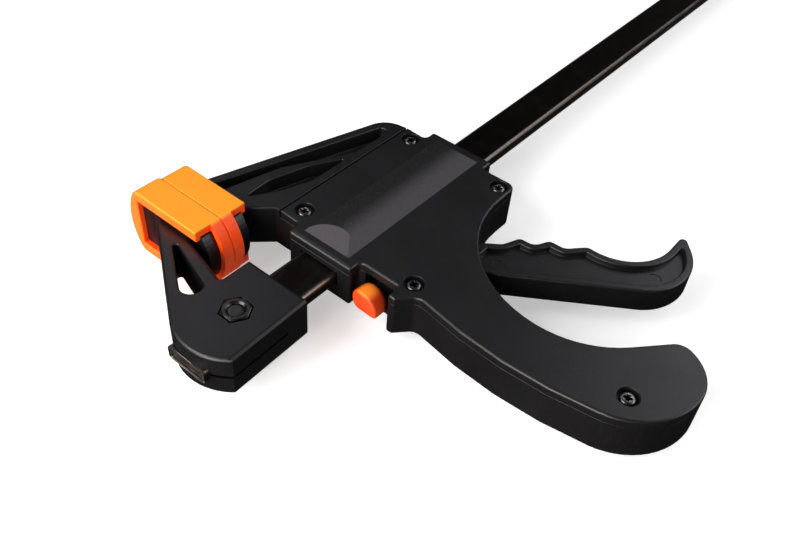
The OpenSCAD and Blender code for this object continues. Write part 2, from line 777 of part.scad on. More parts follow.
// Corners of the trigger below its pin, about the pin
trigger_corners = [
    [-8.4, -4.6, 5],
    [5, -28.5, 20],
    [36.9, -75.1, 20],
    [55.6, -85, 23],
    [74.7, -67.9, 1.8],
    [40.6, -67.8, 21],
    [41, -43.5, 3],
    [34, -37.4, 4],
    [33.7, -30.8, 2.6],
    [27.3, -27.6, 4],
    [26.9, -21.4, 2.6],
    [19.4, -18.4, 5],
    [8.4, -4.4, 4]
];

module trigger_outline() {
    polygon(rounded(trigger_corners));
    circle(trigger_boss_r, $fn = round_fn);
    polygon([[-5, 0], [5, 0], [nose_back + nose_r, nose_up], [nose_back - nose_r, nose_up]]);
    translate([nose_back, nose_up]) circle(nose_r, $fn = round_fn);
}

// Panel inside the trigger's rim
module trigger_panel() {
    ps = inset(trigger_corners, rim_w);
    polygon(rounded(concat(
        [[2.2, -15.5, 1.2]],
        [for (i = [1 : 11]) ps[i]],
        [[13.2, -15.5, 1.2]]
    )));
}

module trigger() {
    mark_spots = [[10.6, -23.4], [45.3, -70.4]];
    color("#3a3a3d") translate([pivot_x, -pivot_y, inner_mid]) difference() {
        slab(-part_h / 2, part_h / 2) trigger_outline();
        for (s = [0, 1]) mirror([0, 0, s]) {
            slab(part_h / 2 - panel_h, part_h) trigger_panel();
            for (p = mark_spots)
                slab(part_h / 2 - panel_h - mark_h, part_h) translate(p)
                    circle(d = mark_d, $fn = round_fn);
        }
        cylinder(d = pivot_d + pivot_fit, h = part_h + 2 * over, center = true, $fn = round_fn);
    }
}

// ---- Drive plates ----

drive_x = pivot_x + nose_back + nose_r + nose_gap;

module drive_plate(x) {
    color("#9b9da0") difference() {
        translate([x, -drive_down, inner_mid - part_h / 2])
            cube([drive_t, drive_down + drive_up, part_h]);
        along_x(x - over, x + drive_t + over)
            square([bar_w + 2 * plate_fit, bar_t + 2 * plate_fit], center = true);
    }
}
module drive_plate_front() { drive_plate(drive_x); }
module drive_plate_rear() { drive_plate(drive_x + drive_t); }

// ---- Brake plate and release button, which lean together ----

module brake_lean_frame() {
    translate([brake_x, brake_y, 0]) rotate(-brake_lean) translate([-brake_x, -brake_y, 0])
        children();
}

module brake_plate() {
    hole_w = bar_w + 4 * plate_fit;
    tongue_h = button_h * 0.5;
    color("#9b9da0") brake_lean_frame() difference() {
        union() {
            translate([brake_x - brake_t / 2, -bar_w / 2 - 4, inner_mid - part_h / 2])
                cube([brake_t, brake_y + 1 + bar_w / 2 + 4, part_h]);
            translate([brake_x - brake_t / 2, -brake_down, inner_mid - tongue_h / 2])
                cube([brake_t, brake_down, tongue_h]);
        }
        along_x(brake_x - brake_t / 2 - over, brake_x + brake_t / 2 + over)
            square([hole_w, bar_t + 2 * plate_fit], center = true);
    }
}

module release_button() {
    back = brake_x + brake_t / 2 + 1.4;
    front = brake_x - brake_t / 2 - button_out;
    crown_r = 24;
    tongue_h = button_h * 0.5;
    color("#ff7b26") brake_lean_frame() difference() {
        intersection() {
            along_x(front, back) translate([-button_y, inner_mid]) polygon(rounded([
                [-button_w / 2, -button_h / 2, button_outer_r],
                [button_w / 2, -button_h / 2, button_r],
                [button_w / 2, button_h / 2, button_r],
                [-button_w / 2, button_h / 2, button_outer_r]
            ]));
            // Crowned front
            translate([front + crown_r, -button_y, inner_mid]) sphere(crown_r, $fn = round_fn);
        }
        translate([brake_x - brake_t / 2, -brake_down, inner_mid - tongue_h / 2])
            cube([brake_t, brake_down, tongue_h]);
    }
}

bar();
fixed_jaw();
jaw_bolt();
jaw_nut();
fixed_pad();
stop_pin();
housing_shell();
cover_plate();
cover_screw_1();
cover_screw_2();
cover_screw_3();
cover_screw_4();
cover_screw_5();
label_plate();
moving_pad();
trigger_pin();
drive_spring();
brake_spring();
trigger();
drive_plate_front();
drive_plate_rear();
brake_plate();
release_button();
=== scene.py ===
import math

import bmesh
import bpy
from bpy.props import FloatProperty, FloatVectorProperty, PointerProperty
from mathutils import Matrix, Vector, geometry, noise as roughly


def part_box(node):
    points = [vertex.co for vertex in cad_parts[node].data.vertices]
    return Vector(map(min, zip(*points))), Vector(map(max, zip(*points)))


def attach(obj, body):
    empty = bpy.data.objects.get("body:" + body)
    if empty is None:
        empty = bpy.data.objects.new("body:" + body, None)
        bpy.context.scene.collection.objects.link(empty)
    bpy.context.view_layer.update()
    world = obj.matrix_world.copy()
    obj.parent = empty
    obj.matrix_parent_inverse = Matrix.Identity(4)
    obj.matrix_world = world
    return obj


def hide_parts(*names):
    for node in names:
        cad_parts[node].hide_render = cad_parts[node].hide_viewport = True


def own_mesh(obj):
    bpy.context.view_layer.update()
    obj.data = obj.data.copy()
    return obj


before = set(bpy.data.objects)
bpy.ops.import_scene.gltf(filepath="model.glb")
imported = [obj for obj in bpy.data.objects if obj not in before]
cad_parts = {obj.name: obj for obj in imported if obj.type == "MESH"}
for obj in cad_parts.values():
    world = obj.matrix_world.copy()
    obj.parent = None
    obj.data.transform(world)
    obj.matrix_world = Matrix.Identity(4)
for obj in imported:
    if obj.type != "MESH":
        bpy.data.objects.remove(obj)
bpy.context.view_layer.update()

bl_info = {
    "name": "Trigger bar clamp",
    "version": (1, 0, 0),
    "blender": (4, 5, 0),
    "location": "View3D > Sidebar > Clamp",
    "description": "Dresses the packed bar clamp: rounded mouldings, finishes, light and camera",
    "category": "Object",
}

MM = 0.001
# What lies less than this many millimetres from a level is on it
NEAR = 0.05


def span(node):
    """Low and high corner of a CAD node's box, in millimetres."""
    return [Vector(corner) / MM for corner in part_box(node)]


def middle(node):
    """Middle of a CAD node's box, in millimetres."""
    low, high = span(node)
    return (low + high) / 2


# Levels and places of the clamp in millimetres. The bolt's head is flush with the jaw's
# underside, and the screws' heads stand on the floor of the cover's counterbores.
COVER_Z, BODY_Z = (corner.z for corner in span("cover_plate"))
JAW_Z = -span("jaw_bolt")[0].z
SLIT_Z = 0.6
SEAM_Y = 26.0
BOLT = middle("jaw_bolt")
HEEL_R = 22.2
BAR_START_X = span("bar")[0].x
BAR_HALF_Y, BAR_HALF_Z = span("bar")[1].yz
HEAD_H = 1.9
SCREWS = [middle(f"cover_screw_{i + 1}").xy for i in range(5)]
SCREW_SEAT_Z = span("cover_screw_1")[1].z - HEAD_H
SPRING_Y = middle("drive_spring").y
# The brake plate leans about its upper end, and the button with it
LEAN = math.radians(3.5)
LEAN_PIVOT = Vector((29.5, 13.5, 0))
BUTTON_FRONT_X = 16.1
BUTTON_Y = -24.8
CAP_LENGTH = 7.7


# ---- Colour and node helpers ----

def hex_rgb(code):
    """An sRGB hex colour as linear RGB."""
    parts = [int(code[i:i + 2], 16) / 255 for i in (1, 3, 5)]
    return tuple(c / 12.92 if c <= 0.04045 else ((c + 0.055) / 1.055) ** 2.4 for c in parts)


def feed(tree, node, inputs):
    """Fills or links a node's inputs, given by name or number or in the sockets' order."""
    for key, value in inputs.items() if isinstance(inputs, dict) else enumerate(inputs):
        socket = node.inputs[key]
        if isinstance(value, bpy.types.NodeSocket):
            tree.links.new(value, socket)
        elif socket.type == "RGBA":
            socket.default_value = (*value[:3], 1)
        else:
            socket.default_value = value


def add(tree, kind, inputs=(), **settings):
    """Adds a node with its settings and inputs."""
    node = tree.nodes.new(kind)
    for key, value in settings.items():
        setattr(node, key, value)
    feed(tree, node, inputs)
    return node


def new_material(name, **surface):
    """A material with one Principled shader, and its object coordinates."""
    made = bpy.data.materials.new(name)
    made.use_nodes = True
    tree = made.node_tree
    tree.nodes.clear()
    shader = add(tree, "ShaderNodeBsdfPrincipled", surface)
    add(tree, "ShaderNodeOutputMaterial", {"Surface": shader.outputs["BSDF"]})
    return made, tree, shader, add(tree, "ShaderNodeTexCoord").outputs["Object"]


def mottling(tree, coords, size_mm, detail=2.0, stretch=(1, 1, 1), roughness=0.5):
    """A cloudy pattern with blots about size_mm across, longer where stretch is under 1."""
    scaled = add(tree, "ShaderNodeMapping", {"Vector": coords, "Scale": stretch})
    return add(tree, "ShaderNodeTexNoise", {
        "Vector": scaled.outputs["Vector"], "Scale": 1 / (size_mm * MM),
        "Detail": detail, "Roughness": roughness}).outputs["Fac"]


# ---- Finishes ----

# In a Map Range node the sockets are the value, its range, and the range that it's brought to.
# In a Mix node socket 0 is the share, sockets 6 and 7 are the colours, and output 2 the result.

def moulded_nylon(name, colour):
    """Glass-filled nylon, moulded in a spark-eroded tool: deep charcoal with a fine matt grain."""
    made, tree, shader, coords = new_material(name, **{"IOR": 1.53, "Specular IOR Level": 0.42})
    # The real grain is some 0.1 mm across, and is drawn as coarse as it needs to show
    grain = mottling(tree, coords, 0.45, 3.0)
    cloud = mottling(tree, coords, 22.0, 3.0)
    dust = mottling(tree, coords, 0.55, 1.0)
    specks = add(tree, "ShaderNodeMapRange", (dust, 0.68, 0.78, 0.0, 1.0))
    dark, light, pale = ([min(1, c * gain + lift) for c in colour]
                         for gain, lift in ((0.8, 0), (1.25, 0), (2.4, 0.01)))
    base = add(tree, "ShaderNodeMix", {0: cloud, 6: dark, 7: light}, data_type="RGBA")
    dusty = add(tree, "ShaderNodeMix", {0: specks.outputs[0], 6: base.outputs[2], 7: pale},
                data_type="RGBA")
    matt = add(tree, "ShaderNodeMapRange", (cloud, 0.3, 0.7, 0.36, 0.44))
    relief = add(tree, "ShaderNodeBump", {"Height": grain, "Distance": 0.03 * MM})
    feed(tree, shader, {"Base Color": dusty.outputs[2], "Roughness": matt.outputs[0],
                        "Normal": relief.outputs[0]})
    return made


def orange_rubber(name, colour, shade, top_mm, back_x_mm=None):
    """Soft thermoplastic rubber: saturated orange, with painted light and painted shade.

    The lit colour is painted on the upper faces, from top_mm on, and a little on an open back; the
    rest gets the redder colour as painted shade.
    """
    made, tree, shader, coords = new_material(name, **{
        "IOR": 1.5, "Specular IOR Level": 0.3, "Subsurface Weight": 0.12,
        "Subsurface Radius": (1.0, 0.32, 0.08), "Subsurface Scale": 0.0015})
    cloud = add(tree, "ShaderNodeMapRange", (mottling(tree, coords, 14.0, 3.0), 0.3, 0.7, 0.0, 1.0))
    split = add(tree, "ShaderNodeSeparateXYZ", (coords,))
    # Painted light: the upper faces get the lit colour, the other faces the redder painted shade
    lit = add(tree, "ShaderNodeMapRange", (
        split.outputs["Z"], top_mm[0] * MM, top_mm[1] * MM, 0.0, 0.95))
    if back_x_mm:
        back = add(tree, "ShaderNodeMapRange", (
            split.outputs["X"], (back_x_mm + 0.7) * MM, (back_x_mm + 0.1) * MM, 0.0, 0.2))
        lit = add(tree, "ShaderNodeMath", (lit.outputs[0], back.outputs[0]), operation="MAXIMUM")
    uneven = add(tree, "ShaderNodeMath", (cloud.outputs[0], 0.1), operation="MULTIPLY")
    share = add(tree, "ShaderNodeMath", (lit.outputs[0], uneven.outputs[0]), operation="ADD",
                use_clamp=True)
    base = add(tree, "ShaderNodeMix", {0: share.outputs[0], 6: shade, 7: colour}, data_type="RGBA")
    satin = add(tree, "ShaderNodeMapRange", (mottling(tree, coords, 5.0, 4.0), 0.3, 0.7, 0.4, 0.52))
    relief = add(tree, "ShaderNodeBump", {
        "Height": mottling(tree, coords, 0.7, 3.0), "Distance": 0.02 * MM})
    feed(tree, shader, {"Base Color": base.outputs[2], "Roughness": satin.outputs[0],
                        "Normal": relief.outputs[0]})
    return made


def black_oxide_steel(name, colour, wear_and_highlight_colour, roughness=0.36, run=(1, 1, 1), edge_highlight_and_end_wear=False):
    """Steel with a black oxide skin: brown-black, and rubbed to grey here and there.

    With the last argument set, it also paints a highlight along the bar's long edges, in patches,
    and rubs its sheared end to grey.
    """
    made, tree, shader, coords = new_material(name, **{"Metallic": 1.0})
    streaks = mottling(tree, coords, 0.9, 4.0, stretch=run, roughness=0.6)
    wear_and_highlight = add(tree, "ShaderNodeMapRange", (mottling(tree, coords, 9.0, 4.0), 0.5, 0.85, 0.0, 0.12))
    if edge_highlight_and_end_wear:
        split = add(tree, "ShaderNodeSeparateXYZ", (coords,))
        side = add(tree, "ShaderNodeMath", (split.outputs["Y"],), operation="ABSOLUTE")
        # Painted highlight: a grey band along both long edges, in patches
        edge = add(tree, "ShaderNodeMapRange", (
            side.outputs[0], (BAR_HALF_Y - 1.9) * MM, (BAR_HALF_Y - 0.8) * MM, 0.0, 0.9))
        patchy = add(tree, "ShaderNodeMapRange", (streaks, 0.25, 0.6, 0.55, 1.0))
        painted_edge_highlight = add(tree, "ShaderNodeMath", (edge.outputs[0], patchy.outputs[0]),
                   operation="MULTIPLY")
        cut = add(tree, "ShaderNodeMapRange", (
            split.outputs["X"], (BAR_START_X + 3.1) * MM, (BAR_START_X + 1.1) * MM, 0.0, 0.5))
        for more in (painted_edge_highlight, cut):
            wear_and_highlight = add(tree, "ShaderNodeMath", (wear_and_highlight.outputs[0], more.outputs[0]),
                       operation="MAXIMUM")
    base = add(tree, "ShaderNodeMix", {0: wear_and_highlight.outputs[0], 6: colour, 7: wear_and_highlight_colour}, data_type="RGBA")
    sheen = add(tree, "ShaderNodeMapRange", (streaks, 0.3, 0.7, roughness - 0.07, roughness + 0.1))
    relief = add(tree, "ShaderNodeBump", {"Height": streaks, "Distance": 0.012 * MM})
    feed(tree, shader, {"Base Color": base.outputs[2], "Roughness": sheen.outputs[0],
                        "Normal": relief.outputs[0]})
    return made


def bright_steel(name, colour, roughness, mark_mm=0.25):
    """Plated or ground steel: grey metal with fine marks, drawn as coarse as they need to show."""
    made, tree, shader, coords = new_material(name, **{"Metallic": 1.0})
    marks = mottling(tree, coords, mark_mm, 3.0)
    base = add(tree, "ShaderNodeMix", {
        0: mottling(tree, coords, 6.0, 3.0), 6: [c * 0.75 for c in colour], 7: colour},
        data_type="RGBA")
    sheen = add(tree, "ShaderNodeMapRange", (marks, 0.3, 0.7, roughness - 0.08, roughness + 0.12))
    relief = add(tree, "ShaderNodeBump", {"Height": marks, "Distance": 0.01 * MM})
    feed(tree, shader, {"Base Color": base.outputs[2], "Roughness": sheen.outputs[0],
                        "Normal": relief.outputs[0]})
    return made


def film_with_painted_reflection(name, dark, light, disc):
    """Printed polyester film: charcoal with a painted reflection that pales it to grey towards
    negative Y, and a paler printed half-disc.
    """
    disc_x, disc_y, disc_r, cut_at, soft = 20.7, 0.9, 10.4, -21.6, 0.1
    made, tree, shader, coords = new_material(name, **{
        "Roughness": 0.38, "IOR": 1.57, "Specular IOR Level": 0.24})
    split = add(tree, "ShaderNodeSeparateXYZ", (coords,))
    # Painted reflection: the film pales from charcoal to grey towards negative Y
    painted_reflection_fade = add(tree, "ShaderNodeMapRange", (split.outputs["Y"], 5.5 * MM, -5 * MM),
               interpolation_type="SMOOTHSTEP")
    strip = add(tree, "ShaderNodeMix", {0: painted_reflection_fade.outputs[0], 6: dark, 7: light}, data_type="RGBA")
    centre = (disc_x * MM, disc_y * MM, BODY_Z * MM)
    reach = add(tree, "ShaderNodeVectorMath", (coords, centre), operation="DISTANCE")
    round_part = add(tree, "ShaderNodeMapRange", (
        reach.outputs["Value"], (disc_r + soft) * MM, (disc_r - soft) * MM, 0.0, 1.0))
    # The disc ends at a slanted line
    slanted = add(tree, "ShaderNodeVectorMath", (coords, (-0.64, 0.77, 0)), operation="DOT_PRODUCT")
    cut = add(tree, "ShaderNodeMapRange", (
        slanted.outputs["Value"], (cut_at - soft) * MM, (cut_at + soft) * MM, 0.0, 1.0))
    inside = add(tree, "ShaderNodeMath", (round_part.outputs[0], cut.outputs[0]),
                 operation="MULTIPLY")
    base = add(tree, "ShaderNodeMix", {0: inside.outputs[0], 6: strip.outputs[2], 7: disc},
               data_type="RGBA")
    grain = mottling(tree, coords, 0.5, 2.0)
    haze = add(tree, "ShaderNodeMapRange", (grain, 0.3, 0.7, 0.0, 0.03))
    tinted = add(tree, "ShaderNodeMix", {
        0: haze.outputs[0], 6: base.outputs[2], 7: (0.5, 0.5, 0.5)}, data_type="RGBA")
    relief = add(tree, "ShaderNodeBump", {"Height": grain, "Distance": 0.006 * MM})
    feed(tree, shader, {"Base Color": tinted.outputs[2], "Normal": relief.outputs[0]})
    return made


# ---- Mesh helpers ----

def whole_copy(node):
    """A copy of a CAD node's triangles, merged and with each flat face in one piece."""
    bm = bmesh.new()
    bm.from_mesh(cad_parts[node].data)
    bmesh.ops.remove_doubles(bm, verts=bm.verts, dist=2e-6)
    bmesh.ops.dissolve_limit(bm, angle_limit=math.radians(0.3), verts=bm.verts, edges=bm.edges)
    return bm


def new_piece(name, bm):
    """An object with the mesh that bm holds."""
    mesh = bpy.data.meshes.new(name)
    bm.to_mesh(mesh)
    bm.free()
    piece = bpy.data.objects.new(name, mesh)
    bpy.context.scene.collection.objects.link(piece)
    return piece


def settle(piece):
    """Turns a piece and its modifiers into a plain mesh."""
    graph = bpy.context.evaluated_depsgraph_get()
    mesh = bpy.data.meshes.new_from_object(piece.evaluated_get(graph))
    piece.modifiers.clear()
    old = piece.data
    piece.data = mesh
    mesh.name = old.name + "_mesh"
    bpy.data.meshes.remove(old)
    return piece


def meet(first, second):
    """Where two lines, each a point and a direction, cross."""
    (p, u), (q, v) = first, second
    cross = u.x * v.y - u.y * v.x
    if abs(cross) < 1e-4:
        return q.copy()
    w = q - p
    return p + u * ((w.x * v.y - w.y * v.x) / cross)


def moved_in(points, reach):
    """Moves each edge of a closed outline to its left by its reach, and closes tight corners."""
    n = len(points)
    lines = []
    for i in range(n):
        u = (points[(i + 1) % n] - points[i]).normalized()
        lines.append((points[i] + Vector((-u.y, u.x)) * reach[i], u))
    alive = list(range(n))
    while len(alive) > 3:
        corners = [meet(lines[alive[k - 1]], lines[alive[k]]) for k in range(len(alive))]
        crossed = []
        for k, i in enumerate(alive):
            run = (corners[(k + 1) % len(alive)] - corners[k]).dot(lines[i][1])
            if run < -1e-9:
                crossed.append((run, i))
        if not crossed:
            break
        alive.remove(min(crossed)[1])
    standing = set(alive)
    result = []
    for i in range(n):
        before, after = (i - 1) % n, i
        while before not in standing:
            before = (before - 1) % n
        while after not in standing:
            after = (after + 1) % n
        result.append(meet(lines[before], lines[after]) if any(reach) else points[i].copy())
    return result


def level_regions(bm):
    """Flat regions that face up or down, as (faces, facing)."""
    bm.normal_update()
    left = {face for face in bm.faces if abs(face.normal.z) > 0.9999}
    while left:
        seed = left.pop()
        region, stack = {seed}, [seed]
        while stack:
            for edge in stack.pop().edges:
                for other in edge.link_faces:
                    if other in left and other.normal.dot(seed.normal) > 0.9:
                        left.discard(other)
                        region.add(other)
                        stack.append(other)
        yield region, 1 if seed.normal.z > 0 else -1


def border_loops(region):
    """The closed border loops of a region, each a list of face corners."""
    ahead = {}
    for face in region:
        for corner in face.loops:
            if any(other not in region for other in corner.edge.link_faces):
                ahead.setdefault(corner.vert, []).append(corner)
    loops = []
    while ahead:
        vert = next(iter(ahead))
        ring = []
        while vert in ahead:
            corner = ahead[vert].pop()
            if not ahead[vert]:
                del ahead[vert]
            ring.append(corner)
            vert = corner.link_loop_next.vert
        loops.append(ring)
    return loops


def close_cap(bm, rings, facing):
    """Fills the flat region between an outline and its holes."""
    rings = [[v for i, v in enumerate(ring) if (v.co - ring[i - 1].co).length > 1e-7]
             for ring in rings]
    verts = [v for ring in rings for v in ring]
    spots = [v.co.xy / MM for v in verts]
    sides = []
    for ring in rings:
        first = len(sides)
        sides += [(first + i, first + (i + 1) % len(ring)) for i in range(len(ring))]
    placed, _, triples, sources, _, _ = geometry.delaunay_2d_cdt(spots, sides, [], 1, 1e-7)
    for triple in triples:
        mid = sum((placed[i] for i in triple), Vector((0, 0))) / 3
        crossed = 0
        for i, j in sides:
            p, q = spots[i], spots[j]
            if (p.y > mid.y) != (q.y > mid.y):
                crossed += mid.x < p.x + (mid.y - p.y) / (q.y - p.y) * (q.x - p.x)
        if crossed % 2:
            bm.faces.new([verts[sources[i][0]] for i in triple[::facing]])


def level_plans(bm, radius_of):
    """Every level region as (faces, facing, loops).

    Each loop has its vertices, the radius of each edge, 1 or -1 for walls that rise from the
    region or drop from it, and the level.
    """
    plans = []
    for region, facing in level_regions(bm):
        loops = []
        for ring in border_loops(region):
            level = ring[0].vert.co.z
            inner = facing * sum(c.vert.co.xy.cross(c.link_loop_next.vert.co.xy) for c in ring) < 0
            radii, lift = [], 1
            for corner in ring:
                wall = next(f for f in corner.edge.link_faces if f not in region)
                midway = (corner.vert.co + corner.link_loop_next.vert.co) / 2
                rise = max(((v.co.z - level) * facing for v in wall.verts), key=abs)
                upright = abs(wall.normal.z) < 0.02
                radii.append(radius_of(midway / MM, rise / MM, inner) * MM if upright else 0.0)
                lift = 1 if rise > 0 else -1
            loops.append(([c.vert for c in ring], radii, lift, level))
        plans.append((list(region), facing, loops))
    return plans


def skin(bm, last, ring):
    """Joins two rings of as many vertices with faces, but makes none without width or twice."""
    for i in range(len(ring)):
        j = (i + 1) % len(ring)
        corners = list(dict.fromkeys((last[i], last[j], ring[j], ring[i])))
        if len(corners) > 2 and not bm.faces.get(corners):
            bm.faces.new(corners)
    return ring


def round_loop(bm, verts, radii, lift, level, facing, steps):
    """Builds the rounding along a border loop, and gives back its innermost ring."""
    points = [Vector((v.co.x, v.co.y * facing)) for v in verts]
    own = []
    for i in range(len(verts)):
        pair = [r for r in (radii[i - 1], radii[i]) if r > 0]
        own.append(min(pair) if pair else 0.0)
    last = verts
    for step in range(1, steps + 1):
        turn = math.pi / 2 * step / steps
        places = moved_in(points, [r * (1 - math.cos(turn)) for r in radii])
        ring = []
        for place, radius, vert in zip(places, own, verts):
            height = level + lift * facing * radius * (1 - math.sin(turn))
            ring.append(bm.verts.new((place.x, place.y * facing, height)) if radius else vert)
        last = skin(bm, last, ring)
    for radius, vert in zip(own, verts):
        vert.co.z += lift * facing * radius
    return last


def round_levels(bm, radius_of, steps=4):
    """Rounds the edges of all level faces: radius_of(midway, rise, inner) is in mm.

    midway is the middle of the edge, rise is how far the wall there stands up from the face,
    negative where it drops from it, and inner tells that the edge is on a hole in the face.
    """
    for region, facing, loops in level_plans(bm, radius_of):
        if any(max(radii) > 0 for verts, radii, lift, level in loops):
            bmesh.ops.delete(bm, geom=region, context="FACES_ONLY")
            rims = [round_loop(bm, *loop, facing, steps) for loop in loops]
            close_cap(bm, rims, facing)
    wires = [edge for edge in bm.edges if not edge.link_faces]
    bmesh.ops.delete(bm, geom=wires, context="EDGES")
    bmesh.ops.remove_doubles(bm, verts=bm.verts, dist=1e-6)
    bmesh.ops.dissolve_degenerate(bm, edges=bm.edges, dist=1e-6)


def moulding(name, node, radius_of, along_x=False, steps=4):
    """A node's shape with the rims of its level faces rounded, levels being along Z or X."""
    bm = whole_copy(node)
    turn = Matrix(((0, 1, 0), (0, 0, 1), (1, 0, 0))) if along_x else Matrix.Identity(3)
    bmesh.ops.transform(bm, matrix=turn.to_4x4(), verts=bm.verts)
    round_levels(bm, radius_of, steps)
    bmesh.ops.transform(bm, matrix=turn.transposed().to_4x4(), verts=bm.verts)
    return lay_normals(new_piece(name, bm))


def flat_parts(bm, areas):
    """Numbers the flat parts of a mesh: each face's number, and each part's area."""
    group = [-1] * len(bm.faces)
    group_area = []
    for face in bm.faces:
        if group[face.index] >= 0:
            continue
        group[face.index] = len(group_area)
        total, stack = 0.0, [face]
        while stack:
            here = stack.pop()
            total += areas[here.index]
            for edge in here.edges:
                for other in edge.link_faces:
                    if group[other.index] < 0 and other.normal.dot(face.normal) > 0.99996:
                        group[other.index] = group[face.index]
                        stack.append(other)
        group_area.append(total)
    return group, group_area


def lay_normals(piece, crease=38, flat_mm2=5.0):
    """Smooths curved faces and keeps flat ones flat, so that light runs over an edge evenly.

    Faces that meet at less than crease degrees are smooth, and a part is flat from flat_mm2 on.
    """
    bm = bmesh.new()
    bm.from_mesh(piece.data)
    bmesh.ops.remove_doubles(bm, verts=bm.verts, dist=1e-6)
    bmesh.ops.dissolve_degenerate(bm, edges=bm.edges, dist=1e-6)
    bm.to_mesh(piece.data)
    bm.faces.ensure_lookup_table()
    areas = [face.calc_area() for face in bm.faces]
    group, group_area = flat_parts(bm, areas)
    near = math.cos(math.radians(crease))
    smallest = flat_mm2 * MM * MM
    normals = []
    for face in bm.faces:
        own = face.normal.copy()
        if group_area[group[face.index]] > smallest:
            normals += [own] * len(face.verts)
            continue
        for loop in face.loops:
            best, best_area, mean = None, smallest, Vector((0, 0, 0))
            for other in loop.vert.link_faces:
                if other.normal.dot(own) > near:
                    area = group_area[group[other.index]]
                    if area > best_area:
                        best, best_area = other.normal.copy(), area
                    mean += other.normal * areas[other.index]
            normals.append(best or (mean.normalized() if mean.length > 0 else own))
    bm.free()
    piece.data.shade_smooth()
    piece.data.normals_split_custom_set(normals)
    return piece


def turned(bm, profile, sides=48, shape=None, last=None):
    """Adds rings about Z from (radius, height) pairs in mm.

    shape(turn, r, z) may give each vertex another radius and height. A radius of 0 closes the
    end, and last is a ring to go on from.
    """
    for r, z in profile:
        ring = []
        for i in range(sides):
            turn = 2 * math.pi * i / sides
            at, height = shape(turn, r, z) if shape else (r, z)
            ring.append(bm.verts.new(Vector((at * math.cos(turn), at * math.sin(turn),
                                             height)) * MM))
        last = skin(bm, last, ring) if last else ring
    return last


def hex_reach(turn, flat):
    """Distance from the middle of a hexagon to its side, flat being half its width."""
    return flat / math.cos((turn + math.pi / 6) % (math.pi / 3) - math.pi / 6)


def rounded_outline(corners, inset=0.0, steps=8):
    """Points round a convex outline from (x, y, radius) corners in mm, moved in by inset."""
    points = []
    for k, (x, y, r) in enumerate(corners):
        here = Vector((x, y))
        back = (Vector(corners[k - 1][:2]) - here).normalized()
        ahead = (Vector(corners[(k + 1) % len(corners)][:2]) - here).normalized()
        half = back.angle(ahead) / 2
        centre = here + (back + ahead).normalized() * (r / math.sin(half))
        start = Vector((back.y, -back.x)) if back.cross(ahead) > 0 else Vector((-back.y, back.x))
        sweep = math.copysign(math.pi - 2 * half, -back.cross(ahead))
        for i in range(steps + 1):
            turn = Matrix.Rotation(sweep * i / steps, 2)
            points.append(centre + turn @ start * max(r - inset, 0.0))
    return points


def finished(name, bm, crease=38, flat_mm2=5.0):
    """Faces a closed mesh outward and makes it a piece with laid normals."""
    bmesh.ops.remove_doubles(bm, verts=bm.verts, dist=1e-6)
    bmesh.ops.dissolve_degenerate(bm, edges=bm.edges, dist=1e-6)
    bmesh.ops.recalc_face_normals(bm, faces=bm.faces)
    return lay_normals(new_piece(name, bm), crease, flat_mm2)


def node_group(name, **inputs):
    """A geometry node tree with named inputs, and its group input and output nodes."""
    tree = bpy.data.node_groups.new(name, "GeometryNodeTree")
    tree.interface.new_socket("Geometry", in_out="INPUT", socket_type="NodeSocketGeometry")
    tree.interface.new_socket("Geometry", in_out="OUTPUT", socket_type="NodeSocketGeometry")
    for label, kind in inputs.items():
        tree.interface.new_socket(label, in_out="INPUT", socket_type="NodeSocket" + kind)
    return tree, add(tree, "NodeGroupInput").outputs, add(tree, "NodeGroupOutput").inputs


def grown(piece, tree, **values):
    """Runs a geometry node tree on a piece with the given inputs, and keeps the mesh."""
    names = {item.name: item.identifier for item in tree.interface.items_tree
             if item.in_out == "INPUT"}
    modifier = piece.modifiers.new(tree.name, "NODES")
    modifier.node_group = tree
    for label, value in values.items():
        modifier[names[label]] = value
    return settle(piece)


def dress(piece, body, slot, material, *nodes):
    """Gives a finished piece its material and its body, and hides the CAD nodes that it stands for.
    """
    piece.data.materials.clear()
    piece.data.materials.append(material)
    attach(piece, body)
    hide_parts(*nodes)
    return piece


def repaint(node, material):
    """Gives a CAD node that stays its material."""
    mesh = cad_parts[node].data
    mesh.materials.clear()
    mesh.materials.append(material)


# ---- Sizes and colours ----

class ClampLook(bpy.types.PropertyGroup):
    """Sizes and colours that a user would change."""
    rim: FloatProperty(name="Moulding rim", description="Radius of the mouldings' outer edges",
                       default=1.0 * MM, unit="LENGTH")
    front_rim: FloatProperty(name="Front rim", description="Radius of the bar box's front edge",
                             default=1.7 * MM, unit="LENGTH")
    jaw_rim: FloatProperty(name="Jaw rim", description="Radius of the fixed jaw's outer edges",
                           default=1.5 * MM, unit="LENGTH")
    pad_edge: FloatProperty(name="Pad edge", description="Radius of the pads' edges",
                            default=0.6 * MM, unit="LENGTH")
    button_edge: FloatProperty(name="Button edge", description="Radius of the button's front edge",
                               default=0.9 * MM, unit="LENGTH")
    wire: FloatProperty(name="Spring wire", description="Thickness of the springs' wire",
                        default=0.9 * MM, unit="LENGTH")
    nylon: FloatVectorProperty(name="Nylon", description="Colour of the black mouldings",
                               subtype="COLOR", default=hex_rgb("#0e0d0f"))
    pad_colour: FloatVectorProperty(name="Pads", description="Colour of the pads",
                                    subtype="COLOR", default=hex_rgb("#fa9c22"))
    button_colour: FloatVectorProperty(name="Button", description="Colour of the release button",
                                       subtype="COLOR", default=hex_rgb("#ff861e"))
    bar_colour: FloatVectorProperty(name="Bar", description="Colour of the oxide on the bar",
                                    subtype="COLOR", default=hex_rgb("#1e1a17"))
    floor_colour: FloatVectorProperty(name="Floor", description="Colour of the floor",
                                      subtype="COLOR", default=(0.9, 0.9, 0.9))


def look():
    """The scene's sizes and colours."""
    return bpy.context.scene.clamp_look


# ---- Operators ----

def parting(p):
    """Radius of the edges along the line between cover and housing: widest at the front."""
    return 0.25 if p.x < 18 and p.y > -12 else 0.12


